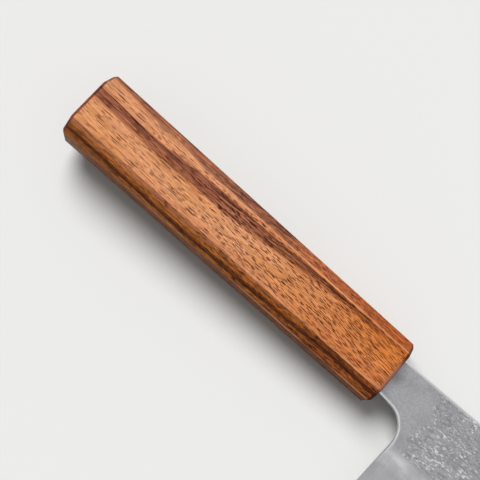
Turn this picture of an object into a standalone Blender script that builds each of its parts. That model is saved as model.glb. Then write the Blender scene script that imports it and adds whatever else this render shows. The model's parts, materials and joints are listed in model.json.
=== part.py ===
"""Santoku kitchen knife with an octagonal wooden handle, lying on its left side.

The blade is a forge-welded stack: a hard core between two softer cladding layers. All three run back
into the handle as a stick tang, which sits in a blind slot and is bedded in resin. The handle is one
piece of wood, a loft between two unlike octagons.

In the knife's own frame X runs from the butt to the tip, with zero at the handle's front face. Y runs
from the cutting edge to the spine, and Z through the thickness, with zero in the middle of the blade.
"""

import math

import bmesh
import bpy
from mathutils import Vector

MM = 0.001

# Handle: two octagons, each a rectangle with its corners taken off
HANDLE_LENGTH = 130.0 * MM
BUTT_HEIGHT = 25.7 * MM
BUTT_THICKNESS = 19.8 * MM
BUTT_CORNER = 5.0 * MM
FRONT_HEIGHT = 23.5 * MM
FRONT_THICKNESS = 17.5 * MM
FRONT_CORNER = 4.2 * MM
END_CHAMFER = 1.1 * MM
RIDGE_ROUNDING = 0.35 * MM

# Neck: the stretch of blade between the handle and the heel
NECK_ABOVE_AXIS = 6.85 * MM
NECK_BELOW_AXIS = 6.6 * MM
NECK_FLARE = math.radians(5.0)
CHOIL_RADIUS = 8.5 * MM
HEEL_FROM_HANDLE = 14.5 * MM
HEEL_LEAN = math.radians(3.1)

# Blade outline
EDGE_LENGTH = 165.0 * MM
HEEL_HEIGHT = 46.0 * MM
SPINE_RISE = math.radians(1.6)
SPINE_DROP_LENGTH = 52.0 * MM
SPINE_DROP_POWER = 2.2
TIP_LIFT = 15.0 * MM
BELLY_POWER = 2.2

# Blade section
SPINE_THICKNESS = 2.4 * MM
CORE_THICKNESS = 0.8 * MM
WELD_LINE = 0.02 * MM
SPINE_ROUNDING = 0.45 * MM
BEVEL_HEIGHT = 22.0 * MM
BEVEL_ROUNDNESS = 0.9
EDGE_BEVEL_HEIGHT = 0.8 * MM
EDGE_BEVEL_THICKNESS = 0.3 * MM
EDGE_THICKNESS = 0.06 * MM

# Tang and what holds it
NECK_INSIDE_HANDLE = 6.0 * MM
SHOULDER_LENGTH = 2.0 * MM
SHOULDER_RADIUS = 1.5 * MM
WOOD_BEHIND_TANG = 35.0 * MM
TANG_ROOT_HEIGHT = 11.0 * MM
TANG_END_HEIGHT = 6.0 * MM
TANG_END_RADIUS = 2.0 * MM
SLOT_CLEARANCE = 0.3 * MM
BEDDING_WALL = 1.0 * MM

# How finely the curves are drawn
ARC_STEPS = 12
CURVE_STEPS = 40
BEVEL_STEPS = 5
ROUNDING_STEPS = 3
CUTTER_MARGIN = 4.0 * MM
FLAT_ANGLE = math.radians(0.01)
SMOOTH_ANGLE = math.radians(30.0)
RESTING_ROUNDS = 4

# Places worked out from the sizes above
CHOIL_Y = -NECK_BELOW_AXIS - HEEL_FROM_HANDLE * math.tan(NECK_FLARE)
HEEL_Y = NECK_ABOVE_AXIS + HEEL_FROM_HANDLE * math.tan(SPINE_RISE) - HEEL_HEIGHT
HEEL_X = HEEL_FROM_HANDLE - (CHOIL_Y - HEEL_Y) * math.tan(HEEL_LEAN)
TIP_X = HEEL_X + EDGE_LENGTH
TIP_DROP = NECK_ABOVE_AXIS + TIP_X * math.tan(SPINE_RISE) - HEEL_Y - TIP_LIFT
DROP_X = TIP_X - SPINE_DROP_LENGTH
SHOULDER_X = -NECK_INSIDE_HANDLE
ROOT_X = SHOULDER_X - SHOULDER_LENGTH
TANG_END_X = WOOD_BEHIND_TANG - HANDLE_LENGTH
HALF_THICKNESS = SPINE_THICKNESS / 2
SHARES = [i / CURVE_STEPS for i in range(CURVE_STEPS + 1)]
EDGE_STATIONS = [HEEL_X + EDGE_LENGTH * share for share in SHARES]
DROP_STATIONS = [DROP_X + SPINE_DROP_LENGTH * share for share in SHARES[:-1]]


def clear_scene():
    """Remove every object, so that the script can be run again in the same file."""
    for found in list(bpy.data.objects):
        bpy.data.objects.remove(found, do_unlink=True)


def new_collection(name):
    """A collection of the scene, for the parts or for the cutters."""
    collection = bpy.data.collections.new(name)
    bpy.context.scene.collection.children.link(collection)
    return collection


def new_material(name, colour, roughness, metallic):
    """A plain Principled material."""
    material = bpy.data.materials.new(name)
    material.use_nodes = True
    shader = material.node_tree.nodes["Principled BSDF"]
    shader.inputs["Base Color"].default_value = (*colour, 1.0)
    shader.inputs["Roughness"].default_value = roughness
    shader.inputs["Metallic"].default_value = metallic
    return material


def object_from_bmesh(name, mesh, collection):
    """Turn a bmesh with its faces pointing out into a linked object."""
    bmesh.ops.recalc_face_normals(mesh, faces=mesh.faces)
    data = bpy.data.meshes.new(name)
    mesh.to_mesh(data)
    mesh.free()
    data.shade_smooth()
    data.set_sharp_from_angle(angle=SMOOTH_ANGLE)
    made = bpy.data.objects.new(name, data)
    collection.objects.link(made)
    return made


def loft(name, sections, collection):
    """Join closed sections of equal point count into one solid, with a flat cap at each end."""
    mesh = bmesh.new()
    loops = [[mesh.verts.new(point) for point in section] for section in sections]
    count = len(loops[0])
    for here, there in zip(loops, loops[1:]):
        for i in range(count):
            after = (i + 1) % count
            mesh.faces.new((here[i], here[after], there[after], there[i]))
    mesh.faces.new(loops[0])
    mesh.faces.new(loops[-1])
    return object_from_bmesh(name, mesh, collection)


def plate(name, outline, low, high, collection):
    """Extrude a flat outline between two heights: a filled 2D curve, made a mesh so that it can be cut."""
    curve = bpy.data.curves.new(name, "CURVE")
    curve.dimensions = "2D"
    curve.fill_mode = "BOTH"
    curve.extrude = (high - low) / 2
    spline = curve.splines.new("POLY")
    spline.points.add(len(outline) - 1)
    for point, (x, y) in zip(spline.points, outline):
        point.co = (x, y, 0.0, 1.0)
    spline.use_cyclic_u = True
    drawn = bpy.data.objects.new(name, curve)
    collection.objects.link(drawn)
    evaluated = drawn.evaluated_get(bpy.context.evaluated_depsgraph_get())
    flat = bpy.data.meshes.new_from_object(evaluated)
    mesh = bmesh.new()
    mesh.from_mesh(flat)
    bpy.data.objects.remove(drawn)
    bpy.data.meshes.remove(flat)
    bmesh.ops.remove_doubles(mesh, verts=mesh.verts, dist=0.0001 * MM)
    inside_cap = [edge for edge in mesh.edges if edge.calc_face_angle(1.0) < FLAT_ANGLE]
    bmesh.ops.dissolve_edges(mesh, edges=inside_cap, use_verts=False)
    bmesh.ops.translate(mesh, verts=mesh.verts, vec=(0.0, 0.0, (low + high) / 2))
    return object_from_bmesh(name, mesh, collection)


def slab(name, outline, half, collection):
    """Extrude a flat outline evenly to both sides of the blade's middle plane."""
    return plate(name, outline, -half, half, collection)


def cut(target, cutter):
    """Take a cutter's shape out of a piece."""
    cutter.hide_render = True
    cutter.display_type = "WIRE"
    boolean = target.modifiers.new(cutter.name, "BOOLEAN")
    boolean.operation = "DIFFERENCE"
    boolean.solver = "EXACT"
    boolean.object = cutter


def rounded(corners):
    """An outline from (point, radius) corners: a corner with a radius becomes a tangent arc."""
    outline = []
    for i, (point, radius) in enumerate(corners):
        corner = Vector(point)
        if not radius:
            outline.append(tuple(corner))
            continue
        before = (Vector(corners[i - 1][0]) - corner).normalized()
        after = (Vector(corners[(i + 1) % len(corners)][0]) - corner).normalized()
        half = before.angle(after) / 2
        centre = corner + (before + after).normalized() * radius / math.sin(half)
        first = corner + before * radius / math.tan(half) - centre
        turn = first.angle_signed(corner + after * radius / math.tan(half) - centre)
        for step in range(ARC_STEPS + 1):
            angle = -turn * step / ARC_STEPS
            outline.append(
                (
                    centre.x + first.x * math.cos(angle) - first.y * math.sin(angle),
                    centre.y + first.x * math.sin(angle) + first.y * math.cos(angle),
                )
            )
    return outline


def octagon(x, height, thickness, corner):
    """A rectangle across the handle with its four corners taken off at 45 degrees."""
    half_height = height / 2
    half_thickness = thickness / 2
    quarter = [
        (half_height, half_thickness - corner),
        (half_height - corner, half_thickness),
    ]
    upper = quarter + [(-y, z) for y, z in reversed(quarter)]
    lower = [(-y, -z) for y, z in upper]
    return [(x, y, z) for y, z in upper + lower]


def spine_y(x):
    """Height of the spine above the handle's axis: a straight rise, then a power curve down to the tip."""
    straight = NECK_ABOVE_AXIS + x * math.tan(SPINE_RISE)
    into_drop = max(0.0, (x - DROP_X) / SPINE_DROP_LENGTH)
    return straight - TIP_DROP * into_drop**SPINE_DROP_POWER


def edge_y(x):
    """Height of the cutting edge: level at the heel, then a power curve up to the tip."""
    along = max(0.0, (x - HEEL_X) / EDGE_LENGTH)
    return HEEL_Y + TIP_LIFT * along**BELLY_POWER


def edge_frame(x):
    """A point of the cutting edge and the direction square to the edge, towards the spine."""
    along = max(0.0, (x - HEEL_X) / EDGE_LENGTH)
    slope = TIP_LIFT * BELLY_POWER * along ** (BELLY_POWER - 1) / EDGE_LENGTH
    return Vector((x, edge_y(x))), Vector((-slope, 1.0)).normalized()


def blade_outline():
    """The outline of tang, neck and blade, from the tang's end round the spine, tip, edge and choil."""
    corners = [
        ((TANG_END_X, -TANG_END_HEIGHT / 2), TANG_END_RADIUS),
        ((TANG_END_X, TANG_END_HEIGHT / 2), TANG_END_RADIUS),
        ((ROOT_X, TANG_ROOT_HEIGHT / 2), SHOULDER_RADIUS),
        ((SHOULDER_X, NECK_ABOVE_AXIS), SHOULDER_RADIUS),
        ((0.0, NECK_ABOVE_AXIS), 0),
    ]
    corners += [((x, spine_y(x)), 0) for x in DROP_STATIONS]
    corners += [((x, edge_y(x)), 0) for x in reversed(EDGE_STATIONS)]
    corners += [
        ((HEEL_FROM_HANDLE, CHOIL_Y), CHOIL_RADIUS),
        ((0.0, -NECK_BELOW_AXIS), 0),
        ((SHOULDER_X, -NECK_BELOW_AXIS), SHOULDER_RADIUS),
        ((ROOT_X, -TANG_ROOT_HEIGHT / 2), SHOULDER_RADIUS),
    ]
    return rounded(corners)


def ground_section():
    """One ground face as (distance from the edge, half thickness), from outside the edge past the bevel."""
    slope = (EDGE_BEVEL_THICKNESS - EDGE_THICKNESS) / 2 / EDGE_BEVEL_HEIGHT
    section = [
        (-CUTTER_MARGIN, EDGE_THICKNESS / 2 - slope * CUTTER_MARGIN),
        (0.0, EDGE_THICKNESS / 2),
    ]
    wide = BEVEL_HEIGHT - EDGE_BEVEL_HEIGHT
    rise = HALF_THICKNESS - EDGE_BEVEL_THICKNESS / 2
    for i in range(BEVEL_STEPS + 1):
        share = i / BEVEL_STEPS
        section.append(
            (
                EDGE_BEVEL_HEIGHT + wide * share,
                EDGE_BEVEL_THICKNESS / 2 + rise * share**BEVEL_ROUNDNESS,
            )
        )
    (s0, z0), (s1, z1) = section[-2:]
    beyond = (z1 - z0) / (s1 - s0)
    section.append((BEVEL_HEIGHT + CUTTER_MARGIN, z1 + beyond * CUTTER_MARGIN))
    far = z1 + CUTTER_MARGIN
    return section + [(BEVEL_HEIGHT + CUTTER_MARGIN, far), (-CUTTER_MARGIN, far)]


def grinding_cutter(name, side, collection):
    """The steel that grinding takes off one face: its section carried along the cutting edge."""
    profile = ground_section()
    frames = [edge_frame(x) for x in EDGE_STATIONS]
    heel, heel_up = frames[0]
    tip, tip_up = frames[-1]
    heel_out = Vector((-heel_up.y, heel_up.x)) * CUTTER_MARGIN
    tip_out = Vector((tip_up.y, -tip_up.x)) * CUTTER_MARGIN
    frames = [(heel + heel_out, heel_up), *frames, (tip + tip_out, tip_up)]
    sections = []
    for point, up in frames:
        places = [(point + up * s, side * z) for s, z in profile]
        sections.append([(place.x, place.y, z) for place, z in places])
    return loft(name, sections, collection)


def tang_outline(grow, front, back):
    """The tapered tang's outline from one station to another, grown by an even margin above and below."""
    taper = (TANG_ROOT_HEIGHT - TANG_END_HEIGHT) / 2 / (ROOT_X - TANG_END_X)
    front_half = TANG_ROOT_HEIGHT / 2 + (front - ROOT_X) * taper + grow
    back_half = TANG_ROOT_HEIGHT / 2 + (back - ROOT_X) * taper + grow
    return rounded(
        [
            ((back, -back_half), TANG_END_RADIUS),
            ((back, back_half), TANG_END_RADIUS),
            ((front, front_half), 0),
            ((front, -front_half), 0),
        ]
    )


def mouth_outline():
    """The slot's mouth, which fits round the neck with a small clearance."""
    top = NECK_ABOVE_AXIS + SLOT_CLEARANCE
    bottom = -NECK_BELOW_AXIS - SLOT_CLEARANCE
    back = ROOT_X - SLOT_CLEARANCE
    return [
        (back, bottom),
        (back, top),
        (CUTTER_MARGIN, top),
        (CUTTER_MARGIN, bottom),
    ]


def make_handle(parts, cutters, wood):
    """The octagonal handle: a loft with chamfered ends, rounded ridges and a blind slot for the tang."""
    handle = loft(
        "handle",
        [
            octagon(-HANDLE_LENGTH, BUTT_HEIGHT, BUTT_THICKNESS, BUTT_CORNER),
            octagon(0.0, FRONT_HEIGHT, FRONT_THICKNESS, FRONT_CORNER),
        ],
        parts,
    )
    mesh = bmesh.new()
    mesh.from_mesh(handle.data)
    ends = [
        edge
        for edge in mesh.edges
        if abs(edge.verts[0].co.x - edge.verts[1].co.x) < END_CHAMFER
    ]
    bmesh.ops.bevel(mesh, geom=ends, offset=END_CHAMFER, segments=1, affect="EDGES")
    mesh.to_mesh(handle.data)
    mesh.free()
    rounding = handle.modifiers.new("ridge_rounding", "BEVEL")
    rounding.width = RIDGE_ROUNDING
    rounding.segments = 2
    rounding.limit_method = "ANGLE"
    rounding.angle_limit = math.radians(20.0)
    room = 2 * SLOT_CLEARANCE + BEDDING_WALL
    slot = tang_outline(room, SHOULDER_X, TANG_END_X - room)
    cut(handle, slab("slot_cutter", slot, HALF_THICKNESS + room, cutters))
    mouth = mouth_outline()
    cut(handle, slab("mouth_cutter", mouth, HALF_THICKNESS + SLOT_CLEARANCE, cutters))
    handle.data.materials.append(wood)
    return handle


def make_bedding(parts, cutters, resin):
    """The resin round the tang: a sleeve closed at the back, clear of the slot and of the tang."""
    room = SLOT_CLEARANCE + BEDDING_WALL
    front = ROOT_X - 2 * SLOT_CLEARANCE
    sleeve = tang_outline(room, front, TANG_END_X - room)
    bedding = slab("tang_bedding", sleeve, HALF_THICKNESS + room, parts)
    pocket = tang_outline(
        SLOT_CLEARANCE, front + CUTTER_MARGIN, TANG_END_X - SLOT_CLEARANCE
    )
    cut(bedding, slab("pocket_cutter", pocket, HALF_THICKNESS + SLOT_CLEARANCE, cutters))
    bedding.data.materials.append(resin)
    return bedding


def round_outer_edges(layer, height):
    """Round the cladding's outer edge where it shows: along the spine, the choil and the heel."""
    mesh = bmesh.new()
    mesh.from_mesh(layer.data)
    shown = [
        edge
        for edge in mesh.edges
        if all(abs(vert.co.z - height) < WELD_LINE for vert in edge.verts)
        and min(vert.co.x for vert in edge.verts) > -SPINE_ROUNDING
        and abs(edge.calc_face_angle(0.0)) > math.radians(45.0)
        and sum(vert.co.y for vert in edge.verts) / 2
        > sum(edge_y(vert.co.x) for vert in edge.verts) / 2 + SPINE_ROUNDING
    ]
    bmesh.ops.bevel(
        mesh,
        geom=shown,
        offset=SPINE_ROUNDING,
        segments=ROUNDING_STEPS,
        profile=0.5,
        affect="EDGES",
    )
    mesh.to_mesh(layer.data)
    mesh.free()


def make_blade(parts, cutters, core_steel, soft_steel):
    """The three layers of the blade, all cut from one outline and ground on both faces."""
    outline = blade_outline()
    right_cutter = grinding_cutter("right_grinding_cutter", 1, cutters)
    left_cutter = grinding_cutter("left_grinding_cutter", -1, cutters)
    half_core = CORE_THICKNESS / 2
    inner = half_core + WELD_LINE
    core = slab("core_steel", outline, half_core, parts)
    right = plate("cladding_right", outline, inner, HALF_THICKNESS, parts)
    left = plate("cladding_left", outline, -HALF_THICKNESS, -inner, parts)
    round_outer_edges(right, HALF_THICKNESS)
    round_outer_edges(left, -HALF_THICKNESS)
    cut(core, right_cutter)
    cut(core, left_cutter)
    cut(right, right_cutter)
    cut(left, left_cutter)
    core.data.materials.append(core_steel)
    right.data.materials.append(soft_steel)
    left.data.materials.append(soft_steel)
    return [core, right, left]


def world_points(piece):
    """The corners of a finished piece's mesh, after its cuts, in world space."""
    graph = bpy.context.evaluated_depsgraph_get()
    finished = piece.evaluated_get(graph)
    points = [finished.matrix_world @ vert.co for vert in finished.to_mesh().vertices]
    finished.to_mesh_clear()
    return points


def resting_slope(handle_points, blade_points):
    """Slope of the line that touches the handle and the blade from below, found in a few rounds."""
    slope = 0.0
    for _ in range(RESTING_ROUNDS):
        foot = min(handle_points, key=lambda point: point.z - slope * point.x)
        ahead = [point for point in blade_points if point.x > foot.x]
        slope = min((point.z - foot.z) / (point.x - foot.x) for point in ahead)
    return slope


def lay_down(frame, handle, blade):
    """Lean the knife until handle and blade both touch the ground, and put the origin below its middle.

    The blade outweighs the handle, so a knife that lies on its side rests on the front edge of the handle
    and on the blade near the tip.
    """
    blade_points = [point for layer in blade for point in world_points(layer)]
    frame.rotation_euler.y = math.atan(resting_slope(world_points(handle), blade_points))
    bpy.context.view_layer.update()
    points = [point for piece in [handle, *blade] for point in world_points(piece)]
    low = [min(point[axis] for point in points) for axis in range(3)]
    high = [max(point[axis] for point in points) for axis in range(3)]
    frame.location = ((low[0] + high[0]) / -2, (low[1] + high[1]) / -2, -low[2])


def main():
    """Build the knife."""
    clear_scene()
    parts = new_collection("santoku_knife")
    cutters = new_collection("cutters")
    wood = new_material("striped_wood", (0.45, 0.18, 0.07), 0.45, 0.0)
    resin = new_material("bedding_resin", (0.05, 0.035, 0.025), 0.5, 0.0)
    hard_steel = new_material("hard_core_steel", (0.55, 0.55, 0.56), 0.25, 1.0)
    soft_steel = new_material("soft_cladding_steel", (0.42, 0.42, 0.43), 0.4, 1.0)
    handle = make_handle(parts, cutters, wood)
    make_bedding(parts, cutters, resin)
    blade = make_blade(parts, cutters, hard_steel, soft_steel)
    frame = bpy.data.objects.new("knife_frame", None)
    for made in [*parts.objects, *cutters.objects]:
        made.parent = frame
    parts.objects.link(frame)
    lay_down(frame, handle, blade)


main()
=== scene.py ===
"""Santoku kitchen knife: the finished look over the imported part, and the studio it stands in.

Handle, core and both cladding layers are surfaces worked out with numpy in the knife's own frame, where X
runs from the butt to the tip with zero at the front of the handle, Y from the cutting edge to the spine and
Z through the thickness with zero in the middle of the blade. The resin round the tang keeps its CAD solid.
"""

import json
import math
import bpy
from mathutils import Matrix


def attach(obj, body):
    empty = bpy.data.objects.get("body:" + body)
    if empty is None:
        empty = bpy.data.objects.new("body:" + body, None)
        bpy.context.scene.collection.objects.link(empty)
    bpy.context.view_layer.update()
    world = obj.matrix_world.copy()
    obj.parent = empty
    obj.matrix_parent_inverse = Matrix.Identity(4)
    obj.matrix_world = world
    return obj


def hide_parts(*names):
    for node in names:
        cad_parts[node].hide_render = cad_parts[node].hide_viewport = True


bl_info = {
    "name": "Santoku Knife",
    "version": (1, 0, 0),
    "blender": (4, 5, 0),
    "location": "View3D > Sidebar > Knife",
    "description": "Builds the handle and the forged blade layers of a santoku knife, and its studio",
    "category": "Add Mesh",
}

import bpy
import numpy as np
from bpy.props import FloatProperty, FloatVectorProperty, IntProperty, PointerProperty
from bpy.types import Operator, Panel, PropertyGroup
from mathutils import Matrix, Vector

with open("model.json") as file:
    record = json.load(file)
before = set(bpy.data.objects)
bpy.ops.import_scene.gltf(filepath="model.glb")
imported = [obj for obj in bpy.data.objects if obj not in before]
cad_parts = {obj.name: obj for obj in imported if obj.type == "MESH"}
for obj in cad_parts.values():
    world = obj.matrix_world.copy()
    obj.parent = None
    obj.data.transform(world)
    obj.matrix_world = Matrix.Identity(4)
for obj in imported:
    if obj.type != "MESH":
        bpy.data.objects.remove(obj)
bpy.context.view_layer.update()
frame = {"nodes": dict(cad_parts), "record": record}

MM = 0.001
MOUNTS = {mount["name"]: mount for mount in frame["record"]["mounts"]}
PHOTO_PIXELS = 480
SENSOR = 36.0
RIDGES = 8
SHARP_ANGLE = math.radians(32.0)
NO_TRIANGLES = np.empty((0, 3), int)

# Unevenness of the handle's sanded ridges: its share of their radius, and its two wavelengths
SANDING = 0.22
SANDING_WAVES = (6.1 * MM, 17.0 * MM)
# Rings on the butt's face and on the front face, and curve steps of an eased edge
BUTT_RINGS = 8
FRONT_RINGS = 6
EASING_STEPS = 4
# How deep the last straight ring of the slot's mouth lies behind the front face
MOUTH_DEPTH = 0.1 * MM

# Rows and columns beside the blade's outline, as shares of its round's radius
ROUND_ROWS = (0.0, 0.03, 0.12, 0.28, 0.52)
ROUND_COLUMNS = (0.0, 0.04, 0.15, 0.34, 0.62, 1.0)
# Even columns of the blade, and the last ones by their distance from the tip
BLADE_COLUMNS = 260
TIP_REACH = 0.8 * MM
TIP_COLUMNS = (0.4 * MM, 0.2 * MM, 0.08 * MM, 0.02 * MM, 0.0)
# Rows down to the choil's level, down to the weld, and from there down to the honed bevel
CLADDING_ROWS = (30, 26, 0)
CORE_ROWS = (12, 14, 10)
# Columns of the tang's end, the tang, its shoulder, the hidden neck, the neck and the choil
END_COLUMNS = 8
TANG_COLUMNS = 24
SHOULDER_COLUMNS = 8
HIDDEN_COLUMNS = 3
NECK_COLUMNS = 11
CHOIL_COLUMNS = 31
# Where the tang's end starts its round, as an angle, and how far its straight part keeps from the end
END_ANGLE = 0.15
END_REACH = 4.0 * MM
# Largest shares of a short column at which its lines may lie
WELD_SHARE = 0.6
CHOIL_SHARE = 0.97
SHOULDER_SHARE = 0.94
HONED_SHARE = 0.5
# Way over which the columns turn from the heel line to square to the edge
HEEL_TURN = 20.0 * MM
# Search for a column's end: its reach in heights of the heel, and its halvings
SEARCH_HEIGHT = 1.5
HALVINGS = 40
SLOPE_STEP = 0.05 * MM
# Search for the cladding's last column: start and end before the tip, tries, and the least height there
LAST_COLUMN_SEARCH = (12.0 * MM, 0.1 * MM, 2400)
LAST_COLUMN_HEIGHT = 0.04 * MM
THINNEST_CLADDING = 0.004 * MM
CORE_END = 0.05 * MM
# Waves of the forged weld: weight, wavelength in millimetres, phase, and what the side adds to it
WELD_WAVES = ((1.0, 9.7, 0.0, 1.1), (0.7, 5.3, 2.0, 0.6), (0.45, 2.9, 0.4, -1.7), (0.25, 1.3, 0.0, 1.9))

# Soft borders of the blade's finishes, with their waves as height and wavelength in millimetres and phase
PEAR_SKIN_WAVES = ((1.1, 2.3, 0.0), (0.7, 0.9, 1.0))
PEAR_SKIN_FADE = 2.0 * MM
PEAR_SKIN_FOOT = (-2.0 * MM, 1.6 * MM)
GROUND_TOP = (-2.5 * MM, 1.5 * MM)
# Painted highlight in a band below the bevel's shoulder: how deep its middle lies, and where it fades out
SHOULDER_HIGHLIGHT_DEPTH = 3.0 * MM
SHOULDER_HIGHLIGHT_BAND = (0.5 * MM, 4.5 * MM)
POLISH_FADE = 5.0 * MM
POLISH_EDGE = (0.8, 1.25)
HONED_EDGE = (0.9, 1.1)

# Colours and stripes by year ring, which is a distance from the tree's centre in millimetres
RING_LOW = 52.0
RING_HIGH = 88.0
GROUND_COLOURS = (
    (54.0, "brown"),
    (60.6, "tan"),
    (61.8, "amber"),
    (63.5, "amber"),
    (65.4, "rosy"),
    (68.5, "pale"),
    (73.5, "pale"),
    (75.5, "rosy"),
    (79.0, "rosy"),
    (80.5, "pale"),
    (83.0, "rosy"),
)
MAIN_STRIPE = ((74.0, 0.0), (74.7, 0.82), (76.6, 0.88), (78.2, 1.0), (80.0, 1.0))
LOWER_STRIPE = ((61.2, 0.0), (61.8, 1.0), (62.4, 0.85), (63.0, 0.0))
BELOW_RIDGE = (62.0, 66.0)
FRONT_TINT_RINGS = (64.0, 72.0, 0.6, 1.0)
# Spans of the level above the main stripe, with the values at both ends where they aren't zero and one
MAIN_STRIPE_TOP = (77.9, 78.6)
LANE_TOP = (80.6, 81.8, 1.0, 0.0)
TOP_STRIPE = (80.9, 81.9)
TOP_STRIPE_FADE = (83.6, 85.4, 0.9, 0.5)
RUSSET_FROM = (78.5, 79.6)
LINES_ABOVE = (79.2, 80.6, 0.0, 0.4)

# Spans along the handle in millimetres from its front face, with the values at both ends
LOW_DRIFT = (-78.0, -8.0, 0.0, 1.5)
HIGH_DRIFT = (-91.0, -12.0, 0.0, 4.1)
BUTT_DRIFT = (-136.0, -106.0, 0.9, 0.0)
STRIPE_TOP_DROP = (-108.0, -80.0, 0.0, 1.0)
STRIPE_TOP_STEP = (-66.0, -40.0, 0.0, 0.45)
TOP_STRIPE_SINK = (-101.0, -86.0, -0.7, 1.2)
TOP_STRIPE_END = (-42.0, -26.0, 1.0, 0.0)
MAIN_STRIPE_END = (-14.0, 4.0, 1.0, 0.1)
LANE_END = (-58.0, -42.0, 0.7, 0.0)
RUSSET_START = (-56.0, -36.0, 0.0, 0.85)
STRIPE_DEPTH = (-74.0, -44.0, 1.08, 0.5)
LINES_IN_STRIPES = (-115.0, -65.0, 0.85, 0.95)
FRONT_TINT_SPAN = (-72.0, 0.0)
PORE_WIDTH = (-76.0, -52.0, 1.0, 0.95)
PORES_AT_BUTT = (-104.0, -66.0, 0.76, 1.0)
PORES_AT_FRONT = (-30.0, -6.0, 1.0, 0.85)
LONG_PORES_RARE = (-50.0, -16.0, 0.5, 0.2)
# Span of the painted ridge highlight: half strength near the butt, full towards the front
RIDGE_HIGHLIGHT_SPAN = (-80.0, -35.0, 0.5, 1.0)

# Painted sheen on the front end's chamfer: where it lies along the handle, and across it from both ridges
FRONT_EDGE_SPANS = ((-3.0, -2.0), (-0.4, 0.0, 1.0, 0.0))
FRONT_EDGE_SIDES = ((2.0, 6.5, 0.7, 0.0), (-9.0, -6.5))

# Fibres climb with the square of the distance from this place
GRAIN_START = -130.0
GRAIN_CLIMB = 0.00035

# Spans along the blade, in the same way; the first is the painted shade on the steel in front of the handle
MOUTH_SHADE = (-0.5, 5.5, 0.75, 0.0)
# Painted shoulder highlight: full near the heel, weaker further along the blade
SHOULDER_HIGHLIGHT_FADE = (34.0, 60.0, 1.0, 0.4)

# Height that a bump of one stands for
RELIEF = 0.05 * MM


def size(label, description, millimetres):
    """A length property whose default is given in millimetres."""
    return FloatProperty(
        name=label, description=description, default=millimetres * MM, unit="LENGTH", precision=5
    )


def turn(label, description, degrees):
    """An angle property whose default is given in degrees."""
    return FloatProperty(
        name=label, description=description, default=math.radians(degrees), subtype="ANGLE"
    )


def share(label, description, default):
    """A plain number between nothing and one."""
    return FloatProperty(name=label, description=description, default=default, min=0.0, max=1.0)


def number(label, description, default):
    """A plain number without limits."""
    return FloatProperty(name=label, description=description, default=default)


def colour(label, description, red, green, blue):
    """A colour property whose default is given as it looks on screen, from 0 to 255."""
    seen = np.array([red, green, blue]) / 255.0
    linear = np.where(seen <= 0.04045, seen / 12.92, ((seen + 0.055) / 1.055) ** 2.4)
    return FloatVectorProperty(
        name=label, description=description, subtype="COLOR", default=linear.tolist(), min=0.0, max=1.0
    )


class SantokuHandleSizes(PropertyGroup):
    """Sizes of the octagonal handle and of the slot for the tang."""

    length: size("Length", "From the butt to the front face", 130.0)
    butt_height: size("Butt height", "Across the upper and lower flats at the butt", 25.7)
    butt_thickness: size("Butt thickness", "Across the broad flats at the butt", 19.8)
    butt_corner: size("Butt corner", "Leg of the octagon's corner at the butt", 5.0)
    front_height: size("Front height", "Across the upper and lower flats at the front", 23.5)
    front_thickness: size("Front thickness", "Across the broad flats at the front", 17.5)
    front_corner: size("Front corner", "Leg of the octagon's corner at the front", 4.2)
    end_chamfer: size("End chamfer", "Chamfer round both end faces", 1.1)
    ridge_radius: size("Ridge radius", "Easing of the long ridges", 0.55)
    edge_easing: size("Edge easing", "Easing of the chamfer's edges", 0.18)
    slot_clearance: size("Slot clearance", "Room between the neck and the slot's mouth", 0.3)
    bedding_wall: size("Bedding wall", "Thickness of the resin round the tang", 1.0)
    skin: size("Skin", "How far the finished skin stays inside the solid", 0.02)
    flat_steps: IntProperty(name="Flat steps", description="Faces across each flat", default=12)
    ridge_steps: IntProperty(name="Ridge steps", description="Faces round each ridge", default=5)
    length_steps: IntProperty(name="Length steps", description="Faces along the handle", default=110)


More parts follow.
